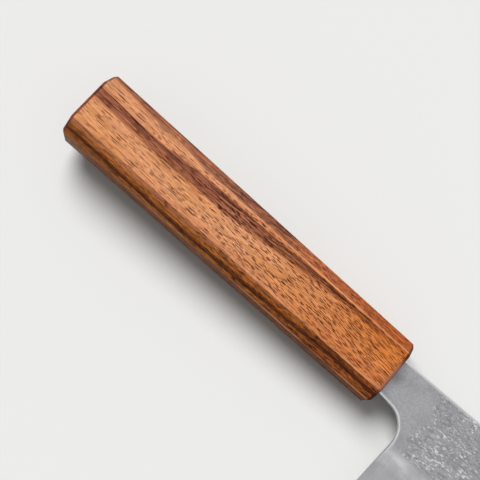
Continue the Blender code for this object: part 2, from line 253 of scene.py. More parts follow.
class SantokuBladeSizes(PropertyGroup):
    """Sizes of the blade's outline, its ground section and its tang."""

    neck_above: size("Neck above axis", "Spine above the handle's axis", 6.845)
    neck_below: size("Neck below axis", "Neck's lower edge below the handle's axis", 6.6)
    neck_flare: turn("Neck flare", "Fall of the neck's lower edge towards the choil", 5.0)
    choil_radius: size("Choil radius", "Round between the neck and the heel", 8.5)
    heel_from_handle: size("Heel from handle", "Front of the handle to the heel line", 14.5)
    heel_lean: turn("Heel lean", "Lean of the heel line away from the handle", 3.1)
    edge_length: size("Edge length", "Heel to tip, along the handle's axis", 165.0)
    heel_height: size("Heel height", "Spine to cutting edge at the heel", 45.99)
    spine_rise: turn("Spine rise", "Slope of the straight spine", 1.6)
    drop_length: size("Drop length", "Length over which the spine falls to the tip", 52.0)
    drop_power: number("Drop power", "Curve of the spine's fall", 2.2)
    tip_lift: size("Tip lift", "Height of the tip above the heel's edge", 15.0)
    belly_power: number("Belly power", "Curve of the cutting edge", 2.2)
    spine_thickness: size("Spine thickness", "Thickness of the flats", 2.4)
    core_thickness: size("Core thickness", "Thickness of the hard steel core", 0.8)
    weld_line: size("Weld line", "Gap between the core and the cladding", 0.02)
    weld_waviness: size("Weld waviness", "How far the forged weld wanders through the thickness", 0.045)
    spine_rounding: size("Spine rounding", "Round along the spine, choil and heel", 0.45)
    bevel_height: size("Bevel height", "Ground face, from the cutting edge upwards", 22.0)
    bevel_roundness: number("Bevel roundness", "Curve of the bevel", 0.9)
    shoulder_softness: size("Shoulder softness", "How softly the bevel meets the flat", 0.09)
    edge_bevel_height: size("Edge bevel height", "Honed bevel at the cutting edge", 0.8)
    edge_bevel_thickness: size("Edge bevel thickness", "Thickness where the honed bevel starts", 0.3)
    edge_thickness: size("Edge thickness", "Thickness of the cutting edge", 0.06)
    neck_inside: size("Neck inside handle", "Length of neck inside the slot's mouth", 6.0)
    shoulder_length: size("Shoulder length", "From the neck down to the tang's root", 2.0)
    tang_root_height: size("Tang root height", "Height of the tang behind its shoulder", 11.0)
    tang_end_height: size("Tang end height", "Height of the tang's end", 6.0)
    tang_end_radius: size("Tang end radius", "Round at the tang's end", 2.0)
    wood_behind_tang: size("Wood behind tang", "Solid wood between the tang and the butt", 35.0)
    pear_skin_start: size("Pear skin start", "Front of the handle to the pear-skin finish", 18.0)


class SantokuWood(PropertyGroup):
    """Colours and gloss of the striped, oiled wood."""

    pale: colour("Pale", "Wood of the broad flat near the butt", 230, 160, 113)
    rosy: colour("Rosy", "Wood beside the dark stripes", 219, 141, 95)
    golden: colour("Golden", "Honey patches", 217, 142, 77)
    amber: colour("Amber", "Wood below the lower ridge", 208, 121, 52)
    tan: colour("Tan", "Wood between the lower stripe and the lowest flat", 177, 101, 46)
    # Brown: partly the wood's own darker colour, partly painted shade on the flat along the edge's side
    brown: colour("Brown", "Wood of the lowest flat", 106, 58, 27)
    purple: colour("Purple", "The broad stripes", 143, 82, 62)
    russet: colour("Russet", "Wood above the upper ridge towards the front", 204, 122, 78)
    stripe_line: colour("Stripe line", "The thin lines in the stripes", 70, 36, 28)
    dark_brown: colour("Dark brown", "The lower stripe", 88, 40, 10)
    front_tint: colour("Front tint", "What the wood's colour is multiplied with at the front", 238, 204, 146)
    pore: colour("Pore", "What the wood's colour is multiplied with in the open pores", 84, 29, 12)
    end_tint: colour("End tint", "What the end grain's colour is multiplied with", 160, 118, 108)
    # Front edge: a paler painted sheen on the end grain of the front end's chamfer
    front_edge_sheen: colour("Front edge", "The dry end grain on the front end's chamfer", 234, 160, 134)
    gloss: share("Gloss", "How much the oiled wood mirrors", 0.16)
    pith_y: size("Pith Y", "Where the tree's centre lies, across the handle", -70.0)
    pith_z: size("Pith Z", "Where the tree's centre lies, through the handle", -12.0)


class SantokuSteel(PropertyGroup):
    """Colours and roughness of the steels, and the colour of the resin."""

    cladding: colour("Cladding", "The soft steel's plain grey", 162, 161, 164)
    fleck: colour("Fleck", "Raised rims of the pear-skin finish", 234, 234, 237)
    # Mouth: painted shade on the steel just in front of the handle; the pear-skin's blotches and pits take
    # this colour too
    mouth: colour("Mouth", "The steel just in front of the handle", 98, 99, 103)
    bevel: colour("Bevel", "The soft steel's ground face", 170, 170, 172)
    # Shoulder: a painted highlight below the bevel's shoulder, where its curve catches the light
    shoulder: colour("Shoulder", "The burnished upper part of the ground face", 196, 196, 198)
    polished: colour("Polished", "The rounded spine and choil", 214, 214, 216)
    core: colour("Core", "The hard steel's ground face", 188, 190, 194)
    honed: colour("Honed", "The honed bevel at the cutting edge", 214, 216, 220)
    resin: colour("Resin", "The cured resin round the tang", 60, 52, 44)
    roughness: share("Roughness", "Roughness of the plain steel", 0.36)
    polish_roughness: share("Polish roughness", "Roughness of the rounds and the honed bevel", 0.34)


class SantokuStage(PropertyGroup):
    """The camera of the photograph, the floor and the lights."""

    eye: FloatVectorProperty(
        name="Eye",
        description="Camera's place in the knife's frame",
        default=(-0.054158, -0.0622, 0.312807),
        unit="LENGTH",
    )
    right: FloatVectorProperty(
        name="Right", description="Camera's right in the knife's frame", default=(0.7453, 0.6581, 0.1069)
    )
    up: FloatVectorProperty(
        name="Up", description="Camera's up in the knife's frame", default=(-0.666, 0.727, 0.1674)
    )
    focal_pixels: number("Focal length", "Focal length in pixels of the photograph", 988.94)
    floor: colour("Floor", "The pale floor", 232, 232, 230)
    floor_bounce: colour("Floor bounce", "The floor as the light from below sees it", 110, 110, 108)
    floor_side: FloatProperty(name="Floor side", description="Side of the floor", default=40.0, unit="LENGTH")
    sky_light: share("Sky light", "Light that comes evenly from all round", 0.25)
    sky_look: share("Sky look", "The sky as the eye and reflections see it", 0.84)
    key_power: number("Key power", "Strength of the large lamp", 3.1)
    key_width: turn("Key width", "How wide the large lamp looks from the knife", 37.0)
    gleam_power: number("Gleam power", "Strength of the large lamp as reflections see it", 0.38)
    gleam_width: turn("Gleam width", "How wide the large lamp looks in reflections", 110.0)
    key_place: FloatVectorProperty(
        name="Key place",
        description="Where the large lamp hangs in the knife's frame",
        default=(-0.48, 0.31, 0.72),
        unit="LENGTH",
    )


def knife_matrix(sizes):
    """Matrix from the knife's frame to the row's, from the mounts on the butt and on the blade's flat."""
    along = -Vector(MOUNTS["butt_face"]["axis"]).normalized()
    across = Vector(MOUNTS["blade_flat_right"]["axis"]).cross(along).normalized()
    through = along.cross(across)
    front = Vector(MOUNTS["butt_face"]["pos_m"]) + along * sizes.length
    return Matrix.Translation(front) @ Matrix((along, across, through)).transposed().to_4x4()


def to_row(points, matrix):
    """Points of the knife's frame, as an array of rows, in the row's frame."""
    turn_part = np.array(matrix.to_3x3())
    return points @ turn_part.T + np.array(matrix.translation)


def smooth_step(low, high, value):
    """Zero below low, one above high, and 3t^2 - 2t^3 between them."""
    t = np.clip((value - low) / (high - low), 0.0, 1.0)
    return t * t * (3.0 - 2.0 * t)


def blend(first, last, weight):
    """The first value where the weight is zero, the last where it is one, and linear between."""
    return first * (1 - weight) + last * weight


def bent(start, corner, end, t):
    """The quadratic curve (1 - t)^2 start + 2 t (1 - t) corner + t^2 end."""
    return (1 - t) ** 2 * start + 2 * t * (1 - t) * corner + t**2 * end


def mesh_object(name, points, quads, triangles, attributes):
    """A linked object from arrays of points, quads and triangles, with one float attribute a point each."""
    mesh = bpy.data.meshes.new(name)
    mesh.vertices.add(len(points))
    mesh.vertices.foreach_set("co", points.astype(np.float32).ravel())
    corners = np.concatenate([quads.ravel(), triangles.ravel()]).astype(np.int32)
    counts = np.concatenate([np.full(len(quads), 4), np.full(len(triangles), 3)])
    starts = np.concatenate([[0], np.cumsum(counts)[:-1]]).astype(np.int32)
    mesh.loops.add(len(corners))
    mesh.loops.foreach_set("vertex_index", corners)
    mesh.polygons.add(len(counts))
    mesh.polygons.foreach_set("loop_start", starts)
    mesh.update(calc_edges=True)
    mesh.validate()
    for label, values in attributes.items():
        layer = mesh.attributes.new(label, "FLOAT", "POINT")
        layer.data.foreach_set("value", values.astype(np.float32).ravel())
    mesh.shade_smooth()
    mesh.set_sharp_from_angle(angle=SHARP_ANGLE)
    made = bpy.data.objects.new(name, mesh)
    bpy.context.scene.collection.objects.link(made)
    return made


def grid_quads(index):
    """Quads of a grid of point numbers, each cell joining (i, j), (i + 1, j), (i + 1, j + 1), (i, j + 1)."""
    return np.stack(
        [index[:-1, :-1], index[1:, :-1], index[1:, 1:], index[:-1, 1:]], axis=-1
    ).reshape(-1, 4)


def eased(path, reach, steps):
    """A polyline of rows with each inner corner replaced by a curve that starts and ends a reach from it."""
    t = np.linspace(0.0, 1.0, steps + 1)[:, None]
    pieces = [path[:1]]
    for before, corner, after in zip(path, path[1:], path[2:]):
        start, end = (
            corner + (point - corner) / np.linalg.norm(point - corner) * reach for point in (before, after)
        )
        pieces.append(bent(start, corner, end, t))
    pieces.append(path[-1:])
    return np.concatenate(pieces)


def octagon_rings(height, thickness, corner, inset, radius, flat_steps, ridge_steps):
    """Octagons across the handle, one for each station, as (station, point, YZ).

    Each is a rectangle with its corners taken off at 45 degrees and all its sides moved in by inset. Each
    ridge is the quadratic curve between its two tangent points, at radius * tan(22.5 degrees) from it.
    """
    y = height / 2 - inset
    z = thickness / 2 - inset
    leg = corner - (2.0 - math.sqrt(2.0)) * inset
    ys = np.stack([y, y - leg, leg - y, -y, -y, leg - y, y - leg, y], axis=1)
    zs = np.stack([z - leg, z, z, z - leg, leg - z, -z, -z, leg - z], axis=1)
    ridges = np.stack([ys, zs], axis=2)
    following = np.roll(ridges, -1, axis=1)
    side = following - ridges
    side /= np.linalg.norm(side, axis=2, keepdims=True)
    reach = (radius * math.tan(math.pi / RIDGES))[:, None, None]
    start = ridges + side * reach
    end = following - side * reach
    t = np.linspace(0.0, 1.0, flat_steps + 1)[None, None, :, None]
    flats = blend(start[:, :, None], end[:, :, None], t)
    t = np.linspace(0.0, 1.0, ridge_steps + 1)[None, None, 1:-1, None]
    after = np.roll(start, -1, axis=1)[:, :, None]
    rounds = bent(end[:, :, None], following[:, :, None], after, t)
    return np.concatenate([flats, rounds], axis=2).reshape(len(height), -1, 2)


def slot_ring(top, bottom, half, flat_steps, ridge_steps):
    """A rectangle with as many points as an octagon ring.

    Its corners lie at the middles of the octagon's corner flats, and between them the points share out
    each side evenly.
    """
    per_side = flat_steps + ridge_steps
    count = RIDGES * per_side
    anchors = flat_steps / 2 + per_side * np.arange(0, RIDGES + 1, 2)
    ys = np.array([top, bottom, bottom, top, top])
    zs = np.array([half, half, -half, -half, half])
    place = (np.arange(count) - anchors[0]) % count + anchors[0]
    return np.stack([np.interp(place, anchors, ys), np.interp(place, anchors, zs)], axis=1)


def handle_surface(sizes, blade):
    """The handle's closed skin as rings from the butt to the slot's end, its finishes, and where it ends.

    Along the handle x runs from the butt to the front face, and height, thickness and corner are linear in
    x. The ends are the path (x, inset) with its corners eased. The butt's face is its edge ring times a
    share that falls to zero, and the front face is a linear blend of its edge ring and the slot's mouth.
    The finishes are the share of end grain of each ring, and for the painted ridge highlight, the share of
    each point that lies on a ridge's round between the end chamfers.
    """
    chamfer = sizes.end_chamfer
    butt = sizes.skin - sizes.length
    path = np.array(
        [
            [butt, 2 * chamfer],
            [butt, chamfer],
            [butt + chamfer, sizes.skin],
            [-chamfer, sizes.skin],
            [0.0, chamfer],
            [0.0, 2 * chamfer],
        ]
    )
    path = eased(path, sizes.edge_easing, EASING_STEPS)
    middle = len(path) // 2
    between = np.linspace(path[middle - 1], path[middle], sizes.length_steps + 1)[1:-1]
    path = np.concatenate([path[:middle], between, path[middle:]])
    x, inset = path.T
    along = 1.0 + x / sizes.length
    height = blend(sizes.butt_height, sizes.front_height, along)
    thickness = blend(sizes.butt_thickness, sizes.front_thickness, along)
    corner = blend(sizes.butt_corner, sizes.front_corner, along)
    sanded = 1.0 + SANDING * np.sin(x / SANDING_WAVES[0]) * np.sin(x / SANDING_WAVES[1] + 1.0)
    radius = np.minimum(sizes.ridge_radius * sanded, corner - inset)
    steps = (sizes.flat_steps, sizes.ridge_steps)
    outer = octagon_rings(height, thickness, corner, inset, radius, *steps)
    top = blade.neck_above + sizes.slot_clearance
    bottom = -blade.neck_below - sizes.slot_clearance
    half = blade.spine_thickness / 2 + sizes.slot_clearance
    mouth = slot_ring(top, bottom, half, *steps)
    room = 2 * sizes.slot_clearance + sizes.bedding_wall
    deep = blade.spine_thickness / 2 + room
    root = slot_ring(top, bottom, deep, *steps)
    end_half = blade.tang_end_height / 2 + room
    end = slot_ring(end_half, -end_half, deep, *steps)
    tang_end = blade.wood_behind_tang - sizes.length - room
    butt_shares = np.linspace(0.0, 1.0, BUTT_RINGS + 1)[1:-1]
    front_shares = np.linspace(0.0, 1.0, FRONT_RINGS + 1)[1:]
    inner = [(-MOUTH_DEPTH, mouth), (-blade.neck_inside, mouth), (-blade.neck_inside, root), (tang_end, end)]
    front = [blend(outer[-1], mouth, s) for s in front_shares]
    rings = np.stack([outer[0] * s for s in butt_shares] + [*outer, *front] + [ring for _, ring in inner])
    stations = [butt] * len(butt_shares) + [*x] + [0.0] * len(front) + [place for place, _ in inner]
    stations = np.array(stations)
    on_flats = np.concatenate(
        [np.zeros(len(butt_shares)), inset < 2 * sizes.skin, np.zeros(len(front) + len(inner))]
    )
    points = np.concatenate(
        [np.broadcast_to(stations[:, None, None], rings.shape[:2] + (1,)), rings], axis=2
    )
    on_ridges = np.tile(np.arange(sizes.flat_steps + sizes.ridge_steps) >= sizes.flat_steps, RIDGES)
    return points, 1.0 - on_flats, on_flats[:, None] * on_ridges, tang_end


def build_handle(sizes, blade):
    """The handle as one closed mesh, with a pole in the middle of the butt and one at the slot's end."""
    points, end_grain, ridge_highlight, tang_end = handle_surface(sizes, blade)
    ring_count, around = points.shape[:2]
    index = np.arange(ring_count * around).reshape(ring_count, around)
    wrapped = np.concatenate([index, index[:, :1]], axis=1)
    poles = np.array([[sizes.skin - sizes.length, 0.0, 0.0], [tang_end, 0.0, 0.0]])
    first, last = ring_count * around, ring_count * around + 1
    butt_fan = np.stack([np.full(around, first), wrapped[0, :-1], wrapped[0, 1:]], axis=1)
    slot_fan = np.stack([np.full(around, last), wrapped[-1, 1:], wrapped[-1, :-1]], axis=1)
    triangles = np.concatenate([butt_fan, slot_fan])
    everything = np.concatenate([points.reshape(-1, 3), poles])
    masks = {
        "end_grain": np.concatenate([np.repeat(end_grain, around), [1.0, 1.0]]),
        "ridge_highlight": np.concatenate([ridge_highlight.ravel(), [0.0, 0.0]]),
    }
    placed = to_row(everything, knife_matrix(sizes))
    return mesh_object("handle_skin", placed, grid_quads(wrapped), triangles, masks)


def spine_height(sizes, x):
    """Straight rise of the spine, less the fall towards the tip: drop * share^power."""
    tip_x, tip_drop = tip_of(sizes)
    into_drop = np.clip((x - tip_x + sizes.drop_length) / sizes.drop_length, 0.0, None)
    straight = sizes.neck_above + x * math.tan(sizes.spine_rise)
    return straight - tip_drop * into_drop**sizes.drop_power


def heel_corner(sizes):
    """X and Y of the heel's corner on the cutting edge, and Y of the sharp corner that the choil rounds."""
    choil_y = -sizes.neck_below - sizes.heel_from_handle * math.tan(sizes.neck_flare)
    y = sizes.neck_above + sizes.heel_from_handle * math.tan(sizes.spine_rise) - sizes.heel_height
    x = sizes.heel_from_handle - (choil_y - y) * math.tan(sizes.heel_lean)
    return x, y, choil_y


def tip_of(sizes):
    """X of the tip and how far the spine falls from its straight line down to it."""
    heel_x, heel_y, _ = heel_corner(sizes)
    tip_x = heel_x + sizes.edge_length
    drop = sizes.neck_above + tip_x * math.tan(sizes.spine_rise) - heel_y - sizes.tip_lift
    return tip_x, drop


def edge_columns(sizes, x):
    """Points of the cutting edge at x, the direction from each towards the spine, and the way to the spine.

    The edge is heel height + lift * share^power. The direction is square to the edge, and turns to the
    heel line's over the first millimetres. The way is found by halving an interval until it meets the spine.
    """
    heel_x, heel_y, _ = heel_corner(sizes)
    along = np.clip((x - heel_x) / sizes.edge_length, 0.0, 1.0)
    points = np.stack([x, heel_y + sizes.tip_lift * along**sizes.belly_power], axis=1)
    slope = sizes.tip_lift * sizes.belly_power * along ** (sizes.belly_power - 1) / sizes.edge_length
    square = np.stack([-slope, np.ones_like(slope)], axis=1)
    square /= np.linalg.norm(square, axis=1, keepdims=True)
    heel_line = np.array([math.sin(sizes.heel_lean), math.cos(sizes.heel_lean)])
    weight = smooth_step(0.0, HEEL_TURN, x - heel_x)[:, None]
    up = blend(heel_line, square, weight)
    up /= np.linalg.norm(up, axis=1, keepdims=True)
    low = np.zeros_like(x)
    high = np.full_like(x, SEARCH_HEIGHT * sizes.heel_height)
    for _ in range(HALVINGS):
        way = (low + high) / 2
        reached = points + up * way[:, None]
        inside = reached[:, 1] < spine_height(sizes, reached[:, 0])
        low = np.where(inside, way, low)
        high = np.where(inside, high, way)
    return points, up, (low + high) / 2


def choil_arc(sizes):
    """Centre of the choil's round, its start on the neck and its end on the heel line."""
    _, _, choil_y = heel_corner(sizes)
    corner = np.array([sizes.heel_from_handle, choil_y])
    neck = np.array([-math.cos(sizes.neck_flare), math.sin(sizes.neck_flare)])
    heel = np.array([-math.sin(sizes.heel_lean), -math.cos(sizes.heel_lean)])
    half = math.acos(neck @ heel) / 2
    start = corner + neck * sizes.choil_radius / math.tan(half)
    end = corner + heel * sizes.choil_radius / math.tan(half)
    centre = corner + (neck + heel) / np.linalg.norm(neck + heel) * sizes.choil_radius / math.sin(half)
    return centre, start, end


def from_outline(sizes, points):
    """How far points lie inside the blade's shown outline: spine, neck, choil and heel line.

    Below, it is the distance to the neck line or the heel line, or the distance to the choil's centre less
    its radius where both lines are nearer than that radius.
    """
    x, y = points[..., 0], points[..., 1]
    rise = spine_height(sizes, x + SLOPE_STEP) - spine_height(sizes, x - SLOPE_STEP)
    slope = rise / (2 * SLOPE_STEP)
    above = (spine_height(sizes, x) - y) / np.sqrt(1 + slope**2)
    _, _, choil_y = heel_corner(sizes)
    corner = np.array([sizes.heel_from_handle, choil_y])
    centre, _, _ = choil_arc(sizes)
    neck_normal = np.array([math.sin(sizes.neck_flare), math.cos(sizes.neck_flare)])
    heel_normal = np.array([math.cos(sizes.heel_lean), -math.sin(sizes.heel_lean)])
    over_neck = (points - corner) @ neck_normal
    past_heel = (points - corner) @ heel_normal
    radius = sizes.choil_radius
    round_it = (over_neck > -radius) & (past_heel > -radius)
    around = np.linalg.norm(points - centre, axis=-1) - radius
    below = np.where(round_it, around, np.maximum(over_neck, past_heel))
    return np.minimum(above, below)


def ground_half(sizes, from_edge):
    """Half thickness by distance from the edge.

    It is linear over the honed bevel and thickness * share^roundness above it. Where that meets the flat,
    the lower of the two is taken with a soft join: high (1 - m) + flat m - softness m (1 - m), where m
    rises from 0 to 1 as high passes the flat.
    """
    honed = sizes.edge_bevel_height
    at_edge, at_honed = sizes.edge_thickness / 2, sizes.edge_bevel_thickness / 2
    flat = sizes.spine_thickness / 2
    low = blend(at_edge, at_honed, from_edge / honed)
    upwards = np.clip((from_edge - honed) / (sizes.bevel_height - honed), 0.0, None)
    high = blend(at_honed, flat, upwards**sizes.bevel_roundness)
    meeting = np.clip(0.5 + (high - flat) / (2 * sizes.shoulder_softness), 0.0, 1.0)
    joined = blend(high, flat, meeting) - sizes.shoulder_softness * meeting * (1 - meeting)
    return np.where(from_edge < honed, low, joined)


def outer_half(sizes, points, from_edge):
    """Half thickness of the finished blade: the ground section, under the round along the outline.

    The round is a quarter circle of radius r: half thickness - r + sqrt(r^2 - (r - d)^2) at distance d.
    """
    radius = sizes.spine_rounding
    inside = np.clip(from_outline(sizes, points), 0.0, radius)
    rounded = sizes.spine_thickness / 2 - radius + np.sqrt(radius**2 - (radius - inside) ** 2)
    shown = points[..., 0] > -radius
    return np.where(shown, np.minimum(ground_half(sizes, from_edge), rounded), sizes.spine_thickness / 2)


def weld_half(sizes, x, side):
    """Half thickness of the core along the blade: even, with the slow waves that hammering leaves."""
    waves = sum(
        weight * np.sin(x / MM / wide + phase + turned * side) for weight, wide, phase, turned in WELD_WAVES
    )
    total = sum(wave[0] for wave in WELD_WAVES)
    return sizes.core_thickness / 2 + sizes.weld_waviness * waves / total


def weld_reach(sizes, half):
    """Distance from the edge at which the ground face is as thick as half, from the bevel's own formula."""
    at_honed = sizes.edge_bevel_thickness / 2
    upwards = (half - at_honed) / (sizes.spine_thickness / 2 - at_honed)
    wide = sizes.bevel_height - sizes.edge_bevel_height
    return sizes.edge_bevel_height + wide * upwards ** (1 / sizes.bevel_roundness)


def spread_rows(length, radius, count):
    """Distances from the top of each column down to its foot, as (column, row).

    Both ends have extra rows in the first radius, where the outline is rounded, and the rest is even. Short
    columns squeeze the ends in proportion.
    """
    end = np.array(ROUND_ROWS)
    reach = np.minimum(radius, length / 4)[:, None]
    even = np.linspace(0.0, 1.0, count)[None]
    middle = reach + (length[:, None] - 2 * reach) * even
    return np.concatenate([end * reach, middle, length[:, None] - end[::-1] * reach], axis=1)


def blade_plan(sizes, x_last, lowest, upper_rows, bevel_rows, edge_rows):
    """Flat plan of a blade layer: points, quads and each point's distance from the edge.

    The blade is a fan of columns that start on the cutting edge. On each, the rows lie from the spine to
    the choil's level, to the shoulder of the bevel, to the lowest line of the layer and, with edge_rows,
    on to the honed bevel and the edge. The neck and the tang are columns from the upper outline to the
    lower one, and share the rows above the choil's level with the first column of the blade.
    """
    heel_x, _, _ = heel_corner(sizes)
    radius = sizes.spine_rounding
    first = radius * np.array(ROUND_COLUMNS)
    even = np.linspace(heel_x + first[-1], x_last - TIP_REACH, BLADE_COLUMNS)
    x = np.concatenate([heel_x + first[:-1], even, x_last - np.array(TIP_COLUMNS)])
    points, up, way = edge_columns(sizes, x)
    centre, neck_end, heel_top = choil_arc(sizes)
    choil_level = np.linalg.norm(heel_top - points[0])
    low = np.minimum(lowest(x), WELD_SHARE * way) if edge_rows else lowest(x)
    spare = way - low
    choil_row = np.minimum(choil_level, low + CHOIL_SHARE * spare)
    shoulder_row = np.minimum(sizes.bevel_height, low + SHOULDER_SHARE * spare)
    upper = way[:, None] - spread_rows(way - choil_row, radius, upper_rows)
    t = np.linspace(0.0, 1.0, bevel_rows + 1)[None]
    bevel = blend(shoulder_row[:, None], low[:, None], t)
    rows = [upper, bevel]
    if edge_rows:
        honed = np.minimum(sizes.edge_bevel_height, HONED_SHARE * low)
        t = np.linspace(0.0, 1.0, edge_rows + 1)[None, 1:]
        rows.append(blend(low[:, None], honed[:, None], t))
        rows.append(honed[:, None] * np.array([[0.5, 0.0]]))
    reach = np.concatenate(rows, axis=1)
    blade = points[:, None] + up[:, None] * reach[:, :, None]
    neck_top, neck_foot = neck_outline(sizes, blade[0, 0], centre, neck_end, heel_top)
    length = np.linalg.norm(neck_foot - neck_top, axis=1)
    down = spread_rows(length, radius, upper_rows) / length[:, None]
    neck = blend(neck_top[:, None], neck_foot[:, None], down[:, :, None])
    shared = upper.shape[1]
    blade_index = np.arange(reach.size).reshape(reach.shape)
    neck_index = reach.size + np.arange(neck.shape[0] * shared).reshape(neck.shape[:2])
    neck_index = np.concatenate([neck_index, blade_index[:1, :shared]])
    quads = np.concatenate([grid_quads(blade_index), grid_quads(neck_index)])
    flat = np.concatenate([blade.reshape(-1, 2), neck.reshape(-1, 2)])
    far = np.full(neck.shape[:2], 2 * sizes.bevel_height)
    return flat, quads, np.concatenate([reach.ravel(), far.ravel()])


def neck_outline(sizes, last_top, centre, neck_end, heel_top):
    """Upper and lower outline of tang and neck, in matched columns, without the column on the heel line.

    The tang tapers evenly from root to end, where its half height follows a quarter ellipse. The shoulder
    eases from the root up to the neck. In front of the handle the lower outline is the neck line and then
    the choil's arc in even angles, and the upper outline keeps pace with its length.
    """
    shoulder_x = -sizes.neck_inside
    root_x = shoulder_x - sizes.shoulder_length
    end_x = sizes.wood_behind_tang - bpy.context.scene.santoku_handle.length
    rounded = sizes.tang_end_radius * (1 - np.cos(np.linspace(END_ANGLE, math.pi / 2, END_COLUMNS)))
    back = np.concatenate([end_x + rounded, np.linspace(end_x + END_REACH, root_x, TANG_COLUMNS)])
    taper = (sizes.tang_root_height - sizes.tang_end_height) / 2 / (root_x - end_x)
    half = sizes.tang_root_height / 2 + (back - root_x) * taper
    corner = np.clip((end_x + sizes.tang_end_radius - back) / sizes.tang_end_radius, 0.0, 1.0)
    half -= sizes.tang_end_radius * (1 - np.sqrt(1 - corner**2))
    ease = np.linspace(0.0, 1.0, SHOULDER_COLUMNS + 1)[1:]
    step_x = root_x + sizes.shoulder_length * ease
    step = smooth_step(0.0, 1.0, ease)
    inside_x = np.linspace(shoulder_x, 0.0, HIDDEN_COLUMNS + 2)[1:-1]
    x = np.concatenate([back, step_x, inside_x])
    root = sizes.tang_root_height / 2
    upper, lower = (
        np.concatenate([half, blend(root, neck, step), np.full(HIDDEN_COLUMNS, neck)])
        for neck in (sizes.neck_above, sizes.neck_below)
    )
    hidden_top = np.stack([x, upper], axis=1)
    hidden_foot = np.stack([x, -lower], axis=1)
    neck_start = np.array([0.0, -sizes.neck_below])
    neck_line = np.linspace(neck_start, neck_end, NECK_COLUMNS)
    angles = [math.atan2(*(point - centre)[::-1]) for point in (neck_end, heel_top)]
    angle = np.linspace(*angles, CHOIL_COLUMNS + 2)[1:-1]
    arc = centre + sizes.choil_radius * np.stack([np.cos(angle), np.sin(angle)], axis=1)
    shown_foot = np.concatenate([neck_line, arc])
    steps = np.linalg.norm(np.diff(np.concatenate([shown_foot, [heel_top]]), axis=0), axis=1)
    pace = np.concatenate([[0.0], np.cumsum(steps)])
    top_x = last_top[0] * pace[:-1] / pace[-1]
    shown_top = np.stack([top_x, spine_height(sizes, top_x)], axis=1)
    return np.concatenate([hidden_top, shown_top]), np.concatenate([hidden_foot, shown_foot])


def solid_between(flat, quads, high, low):
    """Closed solid over a flat plan: its upper face, its lower face turned over, and a wall round both."""
    count = len(flat)
    edges = np.concatenate([quads[:, [0, 1]], quads[:, [1, 2]], quads[:, [2, 3]], quads[:, [3, 0]]])
    _, first, used = np.unique(np.sort(edges, axis=1), axis=0, return_index=True, return_counts=True)
    rim = edges[first[used == 1]]
    wall = np.stack([rim[:, 1], rim[:, 0], rim[:, 0] + count, rim[:, 1] + count], axis=1)
    points = np.concatenate([np.column_stack([flat, high]), np.column_stack([flat, low])])
    faces = np.concatenate([quads, quads[:, ::-1] + count, wall])
    a, b, c = (points[faces[:, i]] for i in range(3))
    d = points[faces[:, 3]]
    volume = np.einsum("ij,ij->", a, np.cross(b, c)) + np.einsum("ij,ij->", a, np.cross(c, d))
    return points, faces if volume > 0 else faces[:, ::-1]


def finish_masks(sizes, flat, from_edge):
    """Where each finish, and the painted highlight below the bevel's shoulder, lies on the blade's faces,
    from zero to one.

    The heel line below the choil is left as ground, so the polish fades out there.
    """
    x, y = flat.T
    uneven = sum(high * MM * np.sin(y / (wide * MM) + phase) for high, wide, phase in PEAR_SKIN_WAVES)
    past_start = x + uneven - sizes.pear_skin_start
    over_bevel = from_edge - sizes.bevel_height
    from_shoulder = np.abs(over_bevel + SHOULDER_HIGHLIGHT_DEPTH)
    in_round = from_outline(sizes, flat) / sizes.spine_rounding
    _, _, choil_foot = choil_arc(sizes)
    polish = 1.0 - smooth_step(0.0, POLISH_FADE, choil_foot[1] - y)
    return {
        "pear_skin": smooth_step(-PEAR_SKIN_FADE, PEAR_SKIN_FADE, past_start)
        * smooth_step(*PEAR_SKIN_FOOT, over_bevel),
        "ground": 1.0 - smooth_step(*GROUND_TOP, over_bevel),
        "honed": 1.0 - smooth_step(*HONED_EDGE, from_edge / sizes.edge_bevel_height),
        "polished": polish * (1.0 - smooth_step(*POLISH_EDGE, in_round)),
        "shoulder": 1.0 - smooth_step(*SHOULDER_HIGHLIGHT_BAND, from_shoulder),
    }


def blade_layer(name, sizes, plan, high, low):
    """A blade layer as a closed mesh between two heights over its flat plan, with its finishes."""
    flat, quads, from_edge = plan
    points, faces = solid_between(flat, quads, high, low)
    masks = {label: np.tile(mask, 2) for label, mask in finish_masks(sizes, flat, from_edge).items()}
    matrix = knife_matrix(bpy.context.scene.santoku_handle)
    return mesh_object(name, to_row(points, matrix), faces, NO_TRIANGLES, masks)


def build_cladding(name, sizes, side):
    """One soft steel layer, from the core's weld out to the finished face, down to its own welded edge."""

    def lowest(x):
        return weld_reach(sizes, weld_half(sizes, x, side) + sizes.weld_line)

    tip_x, _ = tip_of(sizes)
    start, end, count = LAST_COLUMN_SEARCH
    tries = np.linspace(tip_x - start, tip_x - end, count)
    _, _, way = edge_columns(sizes, tries)
    x_last = tries[np.nonzero(way > lowest(tries) + LAST_COLUMN_HEIGHT)[0][-1]]
    plan = blade_plan(sizes, x_last, lowest, *CLADDING_ROWS)
    flat, _, from_edge = plan
    inner = weld_half(sizes, flat[:, 0], side) + sizes.weld_line
    outer = np.maximum(outer_half(sizes, flat, from_edge), inner + THINNEST_CLADDING)
    high, low = (outer, inner) if side > 0 else (-inner, -outer)
    return blade_layer(name, sizes, plan, high, low)


def build_core(name, sizes):
    """The hard steel core: between the welds, and below them the ground faces down to the cutting edge."""

    def lowest(x):
        return weld_reach(sizes, weld_half(sizes, x, 0.0))

    tip_x, _ = tip_of(sizes)
    plan = blade_plan(sizes, tip_x - CORE_END, lowest, *CORE_ROWS)
    flat, _, from_edge = plan
    ground = outer_half(sizes, flat, from_edge)
    high = np.minimum(ground, weld_half(sizes, flat[:, 0], 1.0))
    low = -np.minimum(ground, weld_half(sizes, flat[:, 0], -1.0))
    return blade_layer(name, sizes, plan, high, low)


